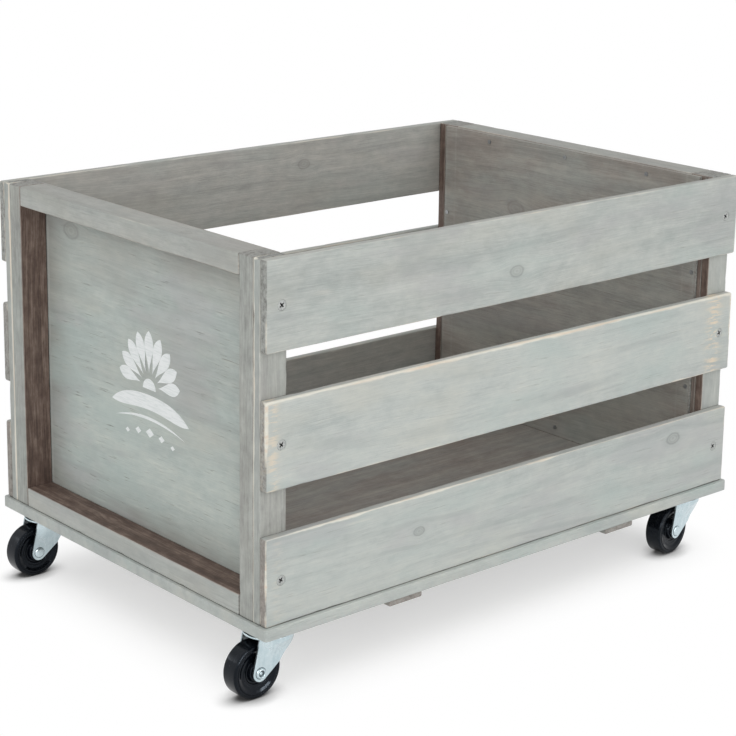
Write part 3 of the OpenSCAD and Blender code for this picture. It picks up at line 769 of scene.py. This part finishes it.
def build_slats():
    for (side, level), looks in SLATS.items():
        # Darker insides, tops and bottoms of the slats: partly unwashed wood, partly painted shade
        add_plank(
            f"{side}_slat_{level}", "x", "z", ease=1.1 * MM, corner=1.8 * MM,
            tones={OPPOSITE[side]: 0.25, "top": 0.12, "bottom": 0.20, "left": DARK_ENDS[level]},
            holes=slat_screw_places(side, level), **looks)


def build_end_frames():
    for end in ("left", "right"):
        # Darker sides in the recess: unwashed wood and painted shade; the right battens' insides are painted
        # shadow
        inside = OPPOSITE[end]
        left = end == "left"
        for side in ("front", "back"):
            inward = OPPOSITE[side]
            add_plank(
                f"{side}_{end}_batten", "z", "x", dents=5, wear=0.45, aged=0.60 if left else 0.30,
                worn_edge=(end, inward, 1.7) if left else (),
                tones={inside: 0.35 if left else 0.85, side: 0.12 if left else 0.03, inward: 0.3})
            add_plank(
                f"{side}_{end}_post", "z", "x", wear=0.25, dents=4, aged=0.88,
                tones={inside: 0.62, inward: 0.92, side: 0.3, "top": 0.06})
        add_plank(
            f"{end}_bottom_rail", "y", "x", wear=0.35, knots=[(40, 2, 3.0)], aged=0.22, grime=0.2,
            tones={"top": 0.90, inside: 0.5, "bottom": 0.3})
        add_plank(
            f"{end}_top_rail", "y", "x", wear=0.45, knots=[(-70, -3, 3.2)], aged=0.35, grime=0.3,
            tones={"top": 0.10, "bottom": 0.85, inside: 0.5})


def build_panels():
    for end, knot in (("left", (107, 102, 6.0)), ("right", (60, 70, 6.0))):
        add_plank(
            f"{end}_end_panel", "y", "z", material=PLY, wear=0.15, knots=[knot], dents=0,
            ease=0.3 * MM, corner=0.4 * MM, slot="washed_ply", grime=0.66,
            tones={OPPOSITE[end]: 0.36, "top": 0.3})


def build_floor_board():
    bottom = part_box("bottom_board")[0][2]
    under = [facing((i * BOARD_SCREW[0], j * BOARD_SCREW[1], bottom), DOWN)
             for i in (-1, 1) for j in (-1, 1)]
    add_plank(
        "bottom_board", "x", "y", wear=0.12, knots=[(-60, 40, 6.0), (130, -70, 5.0)],
        ease=0.7 * MM, corner=3 * MM, holes=under, end_grain=0.12, washed_rim=1.0,
        tones={"top": 0.45, "bottom": 0.30})
    for end, sign in (("left", -1), ("right", 1)):
        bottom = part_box(f"{end}_floor_cleat")[0][2]
        holes = [facing((sign * CLEAT_SCREW[0], j * CLEAT_SCREW[1], bottom), DOWN)
                 for j in (-1, 0, 1)]
        add_plank(
            f"{end}_floor_cleat", "y", "x", wear=0.4, holes=holes,
            tones={"left": 0.3, "right": 0.3, "bottom": 0.35, "front": 0.28, "back": 0.28})


# Screws

HEAD_RADIUS = 3.9 * MM
HEAD_EDGE = 0.12 * MM
HEAD_POINTS = 36
NECK_RADIUS = 1.75 * MM
NECK_DEPTH = 2.4 * MM
RECESS_TOP = (4.4 * MM, 1.15 * MM)
RECESS_FLOOR = (2.4 * MM, 0.6 * MM)
RECESS_DEPTH = 1.4 * MM


def cross_outline(arm, width, twist):
    """Twelve points round a cross with arms of that reach and width."""
    a, w = arm / 2, width / 2
    plain = [
        (a, -w), (a, w), (w, w), (w, a), (-w, a), (-w, w),
        (-a, w), (-a, -w), (-w, -w), (-w, -a), (w, -a), (w, -w)]
    c, s = math.cos(twist), math.sin(twist)
    return [Vector((x * c - y * s, x * s + y * c)) for x, y in plain]


def screw_head(bm, place, twist):
    """Countersunk head with a tapered cross recess. Its face is at the place's z = 0."""
    rim, face, neck = (
        turned_ring(bm, place, radius, height, HEAD_POINTS) for radius, height in (
            (HEAD_RADIUS, -HEAD_EDGE), (HEAD_RADIUS * 0.93, 0), (NECK_RADIUS, -NECK_DEPTH)))
    bridge(bm, neck, rim)
    bridge(bm, rim, face)
    bm.faces.new(neck[::-1])
    top, floor = (
        [bm.verts.new(place @ Vector((p.x, p.y, height))) for p in cross_outline(*size, twist)]
        for size, height in ((RECESS_TOP, 0), (RECESS_FLOOR, -RECESS_DEPTH)))
    bridge(bm, top, floor)
    bm.faces.new(floor)
    loops = []
    for ring in (face, top):
        for k in range(len(ring)):
            a, b = ring[k], ring[(k + 1) % len(ring)]
            loops.append(bm.edges.get((a, b)) or bm.edges.new((a, b)))
    bmesh.ops.triangle_fill(bm, use_beauty=True, edges=loops)


def build_slat_screws():
    bm = bmesh.new()
    backs = []
    for side, level in SLATS:
        for place in slat_screw_places(side, level):
            sunk = place @ Matrix.Translation((0, 0, -SCREW_SINK))
            before = len(bm.verts)
            screw_head(bm, sunk, rng.uniform(0.35, 1.2))
            backs.extend([sunk.inverted()] * (len(bm.verts) - before))
    mesh = finish_mesh(bm, "slat_screw_heads", SCREW, backs, degrees=30)
    add_piece("slat_screw_heads", mesh, "crate", "slat_screws", slot="screw_steel")


# Casters

# Sizes in millimetres, and heights above the ground
CASTERS = ("front_left", "front_right", "back_left", "back_right")
RINGED_RIVETS = ("front_left", "back_right")
JOINTS = {joint["name"]: joint for joint in frame["record"]["behaviour"]["joints"]}
TRAIL = 15.0
WHEEL_RADIUS = 21.0
CROWN_BOTTOM, CROWN_TOP = 44.2, 46.2
LIP_BOTTOM, LIP_TOP = 46.3, 48.1
RACEWAY_BOTTOM = 48.8
PLATE_BOTTOM, PLATE_TOP = 51.0, 53.0
PLATE_HALF = 20.0
PLATE_CORNER = 5.0
CROWN_RADIUS = 19.0
GREASE_AND_SHADE_RADIUS = 18.2
LEG_FACE = 10.75
LEG_THICKNESS = 1.6
FOOT_RADIUS = 6.5
LEG_CORNER = (2.5, 26.0)
AXLE_FACE = LEG_FACE + 0.05
FLARE_START = 29.0
RINGED_HEAD = [
    (0, 1.0, 0), (0.9, 0.9, 0.4), (1.4, 0.4, 0.2), (2.3, 0.4, 0.2), (2.6, 1.5, 0.3),
    (3.4, 1.5, 0.5), (4.1, 0.6, 0.3), (4.3, 0.15, 0.1), (4.6, 0.15, 0.1), (4.6, 0, 0.1)]
DOMED_HEAD = [
    (0, 1.6, 0), (1.9, 1.55, 0.6), (3.5, 1.10, 0.8), (4.1, 0.45, 0.3), (4.3, 0.15, 0.15),
    (4.6, 0.15, 0.1), (4.6, 0, 0.1)]
HALF_WHEEL = [
    (3.05, 8.25, 0), (7.4, 8.25, 0.7), (8.3, 4.85, 0.5), (9.7, 4.85, 0.5), (10.2, 5.9, 0.4),
    (12.0, 5.9, 0.2), (12.3, 6.2, 0.2), (14.4, 6.2, 0.5), (16.9, 7.55, 0.5), (17.6, 7.55, 0.2),
    (17.8, 7.10, 0.12), (18.2, 7.10, 0.12), (18.4, 7.45, 0.2), (19.75, 7.40, 0.2),
    (20.9, 6.38, 0.2), (21.0, 5.8, 0.3), (21.0, 0.4, 0)]


def caster_places(name):
    """The caster's pivot on the ground, square to the crate, and the same turned as the fork stands."""
    pivot = Vector(JOINTS[name + "_caster_swivel"]["pos_m"])
    axle = Vector(JOINTS[name + "_wheel_spin"]["pos_m"])
    square = Matrix.Translation((pivot.x, pivot.y, 0))
    turn = math.atan2(pivot.y - axle.y, pivot.x - axle.x)
    return square, square @ Matrix.Rotation(turn, 4, "Z")


def wheel_centre(place):
    """The middle of the wheel, and the same with +Z along the axle."""
    centre = place @ Matrix.Translation((-TRAIL * MM, 0, WHEEL_RADIUS * MM))
    return centre, centre @ Matrix.Rotation(math.radians(90), 4, "X")


def caster_plate(place):
    """Top plate with round corners and, pressed down from it, the dished upper race."""
    bm = bmesh.new()
    outline = []
    middle = PLATE_HALF - PLATE_CORNER
    for corner, (i, j) in enumerate(CORNERS):
        for k in range(7):
            a = math.radians(90 * corner + 15 * k)
            outline.append((i * middle + PLATE_CORNER * math.cos(a), j * middle + PLATE_CORNER * math.sin(a)))
    rings = [
        [bm.verts.new(place @ Vector((x * shrink * MM, y * shrink * MM, height * MM))) for x, y in outline]
        for height, shrink in ((PLATE_BOTTOM, 0.985), (PLATE_BOTTOM + 0.35, 1.0), (PLATE_TOP, 1.0))]
    for lower, upper in zip(rings, rings[1:]):
        bridge(bm, lower, upper)
    bm.faces.new(rings[0][::-1])
    bm.faces.new(rings[-1])
    race = [
        (4.3, PLATE_BOTTOM + 1, 0), (4.3, RACEWAY_BOTTOM + 0.5, 0.4), (10.6, RACEWAY_BOTTOM + 0.5, 0.6),
        (11.2, RACEWAY_BOTTOM, 0.4), (15.2, RACEWAY_BOTTOM, 0.7), (15.9, PLATE_BOTTOM - 0.7, 0.8),
        (17.6, PLATE_BOTTOM - 0.05, 0.8), (17.8, PLATE_BOTTOM + 0.5, 0.0)]
    lathe(bm, race, 72, place, closed=True)
    # The plate is darker as painted shade under the board, and duller plating
    return finish_mesh(bm, "plate", DULL_SHADED_ZINC, place.inverted())


def leg_edges(z):
    """Rear and front edge of a fork leg at height z, as x in the caster's own millimetres."""
    reach = math.sqrt(CROWN_RADIUS ** 2 - LEG_FACE ** 2)

    def touch(corner, side):
        dx, dz = -TRAIL - corner[0], WHEEL_RADIUS - corner[1]
        distance = math.hypot(dx, dz)
        angle = math.atan2(-dz, -dx) - side * math.acos(FOOT_RADIUS / distance)
        return (-TRAIL + FOOT_RADIUS * math.cos(angle), WHEEL_RADIUS + FOOT_RADIUS * math.sin(angle))

    def on_line(a, b):
        return a[0] + (b[0] - a[0]) * (z - a[1]) / (b[1] - a[1])

    half_chord = math.sqrt(max(FOOT_RADIUS ** 2 - (z - WHEEL_RADIUS) ** 2, 0.0))
    rear_corner, front_corner = (-reach, CROWN_TOP), (reach, CROWN_TOP)
    rear_touch, front_touch = touch(rear_corner, -1), touch(LEG_CORNER, 1)
    rear = -TRAIL - half_chord if z < rear_touch[1] else on_line(rear_touch, rear_corner)
    if z < front_touch[1]:
        front = -TRAIL + half_chord
    elif z < LEG_CORNER[1]:
        front = on_line(front_touch, LEG_CORNER)
    else:
        front = on_line(LEG_CORNER, front_corner)
    return rear, front


def fork_leg(bm, grease_and_shade, place, side):
    """One pressed leg: flat at the axle, and flared out into the crown's lip at its top."""
    columns = 14
    heights = [WHEEL_RADIUS - FOOT_RADIUS * math.cos(math.radians(a)) for a in (2, 12, 24, 38, 54, 70)]
    bottom, top = heights[-1], LIP_BOTTOM + 0.5
    count = round(top - bottom)
    heights += [bottom + (top - bottom) * k / count for k in range(1, count + 1)]
    layers = []
    for depth in (0.0, LEG_THICKNESS):
        rows = []
        for z in heights:
            rear, front = leg_edges(min(z, CROWN_TOP - 0.4))
            flare = min(max((z - FLARE_START) / (CROWN_BOTTOM - FLARE_START), 0.0), 1.0) ** 1.6
            row = []
            for k in range(columns + 1):
                x = rear + (front - rear) * k / columns
                wall = math.sqrt(max((CROWN_RADIUS - 0.1) ** 2 - x * x, LEG_FACE ** 2))
                y = LEG_FACE + flare * (wall - LEG_FACE) - depth
                row.append(bm.verts.new(place @ (Vector((x, side * y, z)) * MM)))
                # The leg's inner face is darkened as painted shade and painted reflection of the black wheel
                row[-1][grease_and_shade] = 0.9 if depth else 0.0
            rows.append(row)
        layers.append(rows)
    outer, inner = layers
    for a in range(len(heights) - 1):
        b = a + 1
        for k in range(columns):
            bm.faces.new((outer[a][k], outer[a][k + 1], outer[b][k + 1], outer[b][k]))
            bm.faces.new((inner[a][k], inner[b][k], inner[b][k + 1], inner[a][k + 1]))
        for k in (0, columns):
            bm.faces.new((outer[a][k], outer[b][k], inner[b][k], inner[a][k]))
    for row in (0, len(heights) - 1):
        for k in range(columns):
            bm.faces.new((outer[row][k], outer[row][k + 1], inner[row][k + 1], inner[row][k]))


def caster_fork(place):
    """Crown whose rim turns up into a thin bright lip, with grease and painted shade inside it, and two legs.
    """
    bm = bmesh.new()
    grease_and_shade = bm.verts.layers.float.new("grease_and_shade")
    crown = [
        (4.1, CROWN_BOTTOM, 0.2), (14.2, CROWN_BOTTOM, 0.6), (16.4, LIP_BOTTOM - 0.4, 0.6),
        (18.5, LIP_BOTTOM, 0.3), (19.0, LIP_BOTTOM + 0.3, 0.3), (19.0, LIP_TOP - 0.3, 0.3),
        (18.5, LIP_TOP, 0.3), (17.4, LIP_TOP, 0.4), (16.9, CROWN_TOP + 0.7, 0.5),
        (15.8, CROWN_TOP, 0.5), (14.6, CROWN_TOP, 0.3), (14.2, CROWN_TOP - 0.7, 0.5),
        (10.8, CROWN_TOP - 0.7, 0.5), (10.4, CROWN_TOP, 0.3), (4.1, CROWN_TOP, 0.2)]
    lathe(bm, crown, 96, place, closed=True)
    back = place.inverted()
    # Inside the lip the crown is darkened: grease and painted shade
    for vert in bm.verts:
        vert[grease_and_shade] = 0.9 if math.hypot(*(back @ vert.co)[:2]) < GREASE_AND_SHADE_RADIUS * MM else 0.0
    for side in (-1, 1):
        fork_leg(bm, grease_and_shade, place, side)
    return finish_mesh(bm, "fork", ZINC, back)


def caster_axle(place, ringed):
    """Riveted axle: a ring with a dimple or a plain dome on each side, with painted shade at rim and dimple.
    """
    head = RINGED_HEAD if ringed else DOMED_HEAD
    first = [(r, AXLE_FACE + h, size) for r, h, size in head] + [(3.0, AXLE_FACE, 0)]
    second = [(r, -h, size) for r, h, size in reversed(first)]
    bm = bmesh.new()
    grease_and_shade = bm.verts.layers.float.new("grease_and_shade")
    turned = wheel_centre(place)[1]
    lathe(bm, first + second, 40, turned)
    back = turned.inverted()
    for vert in bm.verts:
        radius = math.hypot(*(back @ vert.co)[:2]) / MM
        # Painted shade round the head's rim and in the ringed head's dimple
        vert[grease_and_shade] = 0.8 if 4.25 < radius or (ringed and 1.2 < radius < 2.5) else 0.0
    return finish_mesh(bm, "axle", ZINC, place.inverted())


def caster_wheel(place):
    """Wheel with a hub, a sunk ring, a web, a grooved rim and a chamfered tread."""
    profile = HALF_WHEEL + [(r, -h, size) for r, h, size in reversed(HALF_WHEEL)]
    bm = bmesh.new()
    centre, turned = wheel_centre(place)
    lathe(bm, profile, 128, turned, closed=True, steps=3)
    return finish_mesh(bm, "wheel", BLACK, centre.inverted())


def dress(node, material):
    """Gives a CAD node that stays its finished material."""
    mesh = frame["nodes"][node].data
    mesh.materials.clear()
    mesh.materials.append(material)


def build_casters():
    for name in CASTERS:
        square, place = caster_places(name)
        swivel = name + "_swivel"
        axle = caster_axle(place, name in RINGED_RIVETS)
        add_piece(name + "_dished_plate", caster_plate(square), "crate", name + "_plate", slot="zinc_steel")
        fork = add_piece(
            name + "_pressed_fork", caster_fork(place), swivel, name + "_fork", slot="zinc_steel")
        edges = fork.modifiers.new("soft_edges", "BEVEL")
        edges.width = 0.28 * MM
        edges.segments = 2
        edges.angle_limit = math.radians(50)
        edges.harden_normals = False
        add_piece(name + "_riveted_axle", axle, swivel, name + "_axle", slot="zinc_steel")
        wheel = caster_wheel(place)
        add_piece(name + "_moulded_wheel", wheel, name + "_roller", name + "_wheel", slot="black_wheel")
        dress(name + "_kingpin", STEEL)
        dress(name + "_balls", STEEL)


# Plain ornament on the left end

PRINT_MIDDLE = (1 * MM, 189 * MM)
PRINT_PROUD = 0.12 * MM
PRINT_SUNK = 0.2 * MM
PETAL_STEP = 20
PETAL_ROOT = 12.0
PETAL_TIP = 45.0
PETAL_WIDTH = 11.4
FAN_HEIGHT = 4.5
DIAMONDS = ((-30, 4.0), (-15.5, 5.5), (0, 7.5), (15.5, 5.5), (30, 4.0))


def petal(angle, root, tip, width):
    """Outline of one petal of a fan round (0, 0), in millimetres, with its angle from upright."""
    side = []
    for k in range(1, 16):
        t = k / 16
        side.append((width / 2 * math.sin(math.pi * t ** 1.7) ** 0.8, root + (tip - root) * t))
    outline = [(0, root)] + side + [(0, tip)] + [(-x, y) for x, y in reversed(side)]
    c, s = math.cos(angle), math.sin(angle)
    return [(x * c + y * s, y * c - x * s) for x, y in outline]


def arched_band(half_width, rise, middle, thickness, taper):
    """Outline of a band that falls by rise and thins to points towards its ends."""
    upper, lower = [], []
    for k in range(41):
        t = -1 + 2 * k / 40
        y = middle - rise * t * t
        thick = thickness * (1 - abs(t) ** taper)
        upper.append((half_width * t, y + thick / 2))
        lower.append((half_width * t, y - thick / 2))
    return upper[:-1] + lower[-1:] + list(reversed(lower[1:-1]))


def half_disc(radius, bottom):
    return [(radius * math.cos(a), bottom + radius * math.sin(a))
            for a in (math.pi * k / 20 for k in range(21))]


def diamond(x, y, wide, high):
    return [(x - wide / 2, y), (x, y - high / 2), (x + wide / 2, y), (x, y + high / 2)]


def build_print():
    """A fan of petals over a curved band, a thin line and five diamonds, in white on the left panel."""
    outlines = [half_disc(8.5, 3.0)]
    for k in range(-4, 5):
        leaf = petal(
            math.radians(PETAL_STEP * k), PETAL_ROOT, PETAL_TIP - 1.1 * abs(k), PETAL_WIDTH - 0.25 * abs(k))
        outlines.append([(x, y + FAN_HEIGHT) for x, y in leaf])
    outlines += [arched_band(51, 8, -7.5, 12.0, 5.0), arched_band(46, 7, -20.5, 2.4, 2.0)]
    outlines += [diamond(x, -32 - 0.005 * x * x, size * 1.4, size) for x, size in DIAMONDS]
    face_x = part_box("left_end_panel")[0][0]
    bm = bmesh.new()
    for outline in outlines:
        clean = [p for k, p in enumerate(outline) if math.dist(p, outline[k - 1]) > 0.02]
        layers = [
            [bm.verts.new((x, PRINT_MIDDLE[0] - a * MM, PRINT_MIDDLE[1] + b * MM)) for a, b in clean]
            for x in (face_x - PRINT_PROUD, face_x + PRINT_SUNK)]
        bridge(bm, *layers)
        for layer in layers:
            bm.faces.new(layer)
    bmesh.ops.triangulate(bm, faces=[f for f in bm.faces if len(f.verts) > 4])
    add_piece("panel_ornament_print", finish_mesh(bm, "print", PRINT), "crate")


# Studio and camera

CAMERA_AZIMUTH = -41.01
CAMERA_ELEVATION = 13.44
CAMERA_ROLL = 0.81
CAMERA_DISTANCE = 1.666
CAMERA_TARGET = (-0.0075, 0.0, 0.2644)
FOCAL_PIXELS = 2022
CENTRE_ROW = 257
SENSOR = 36.0
FLOOR_REACH = 4.0
LAMP_AIM = (0, 0, 0.18)
ROOM_LIGHT = 0.58
BACKDROP_WHITE = 1.0


def build_camera():
    az, el, roll = (math.radians(a) for a in (CAMERA_AZIMUTH, CAMERA_ELEVATION, CAMERA_ROLL))
    back = Vector((math.sin(az) * math.cos(el), -math.cos(az) * math.cos(el), math.sin(el)))
    level_right = Vector((math.cos(az), math.sin(az), 0))
    level_up = back.cross(level_right)
    right = level_right * math.cos(roll) + level_up * math.sin(roll)
    up = level_up * math.cos(roll) - level_right * math.sin(roll)
    data = bpy.data.cameras.new("camera")
    data.sensor_width = SENSOR
    data.lens = FOCAL_PIXELS / IMAGE_SIZE * SENSOR
    data.shift_y = (CENTRE_ROW - IMAGE_SIZE / 2) / IMAGE_SIZE
    data.clip_start = 0.05
    camera = link("camera", data)
    camera.matrix_world = Matrix.Translation(
        Vector(CAMERA_TARGET) + back * CAMERA_DISTANCE) @ Matrix((right, up, back)).transposed().to_4x4()
    bpy.context.scene.camera = camera


def add_lamp(name, place, size, power, along=(1, 0, 0)):
    """A soft lamp that faces the crate, with its first side turned as near as can be to along."""
    data = bpy.data.lights.new(name, "AREA")
    data.shape = "ELLIPSE"
    data.size, data.size_y = size
    data.energy = power
    away = (Vector(place) - Vector(LAMP_AIM)).normalized()
    upward = away.cross(Vector(along)).normalized()
    turn = Matrix((upward.cross(away), upward, away)).transposed()
    link(name, data).matrix_world = Matrix.Translation(place) @ turn.to_4x4()


def add_strip(name, start, end, width, power):
    """A long narrow lamp between two places, for the thin lights on rims and edges."""
    start, end = Vector(start), Vector(end)
    add_lamp(name, (start + end) / 2, ((end - start).length, width), power, end - start)


def build_studio():
    mesh = bpy.data.meshes.new("floor")
    mesh.from_pydata([(i * FLOOR_REACH, j * FLOOR_REACH, 0) for i, j in CORNERS], [], [(0, 1, 2, 3)])
    mesh.materials.append(floor_material())
    floor = link("floor", mesh)

    add_lamp("key", (0.75, -1.75, 1.25), (1.5, 1.5), 4.0)
    add_lamp("fill", (-1.9, -0.5, 1.0), (1.4, 1.4), 9.5)
    add_strip("low_strip", (-0.50, -2.05, 0.30), (0.80, -1.80, 0.80), 0.09, 4.6)
    add_strip("slanting_strip", (-1.43, -1.69, 0.50), (-0.20, -1.55, 1.46), 0.09, 5.8)
    add_strip("back_strip", (-1.5, 1.35, 0.60), (-1.1, 1.65, 1.00), 0.10, 1.6)

    world = bpy.data.worlds.new("studio")
    bpy.context.scene.world = world
    s = Shader(world)
    strength = s.remap(s.seen(), 0.0, 1.0, ROOM_LIGHT, BACKDROP_WHITE)
    s.end(s.node("Background", {"Color": (1, 1, 1, 1), "Strength": strength}), "OutputWorld")
    bpy.context.scene.view_settings.view_transform = "Standard"


build_camera()
build_studio()
build_slats()
build_end_frames()
build_panels()
build_floor_board()
build_slat_screws()
build_casters()
build_print()
for fastener in ("frame_screws", "board_screws", "cleat_screws", "caster_screws", "panel_nails"):
    dress(fastener, STEEL)
